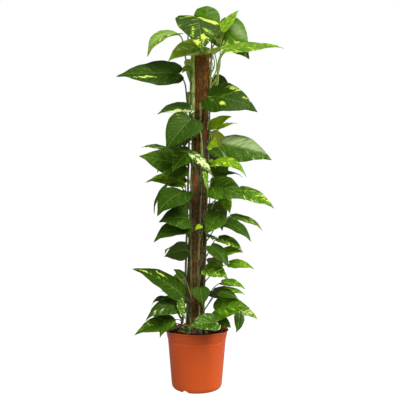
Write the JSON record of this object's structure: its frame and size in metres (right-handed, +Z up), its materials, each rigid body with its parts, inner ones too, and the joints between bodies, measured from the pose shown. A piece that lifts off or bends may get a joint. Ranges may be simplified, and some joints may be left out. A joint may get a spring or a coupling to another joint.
{
  "type": "potted golden pothos on moss pole",
  "caption": "Climbing heart-leaved houseplant: leafy stems rise round a leaning coir-wrapped pole from soil in a round, tapered, banded nursery pot.",
  "frame": {"origin": "centre of the pot's flat foot, on the surface it stands on", "axes": "+Z up along the plant, -Y to the front that the picture shows, +X to the picture's right"},
  "size_m": [0.6796, 0.5472, 1.5298],
  "materials": {
    "pot": "satin moulded plastic in terracotta orange",
    "soil": "loose dark potting soil",
    "coir": "matted brown coconut fibre",
    "stake": "plain round wood",
    "foliage": "glossy green leaves streaked with yellow"
  },
  "bodies": {
    "root": {"pot": "pot", "soil": "soil", "coir_sleeve": "coir", "pole_core": "stake", "vine_left": "foliage", "vine_front_left": "foliage", "vine_front_right": "foliage", "vine_right": "foliage", "vine_back": "foliage"}
  },
  "joints": []
}
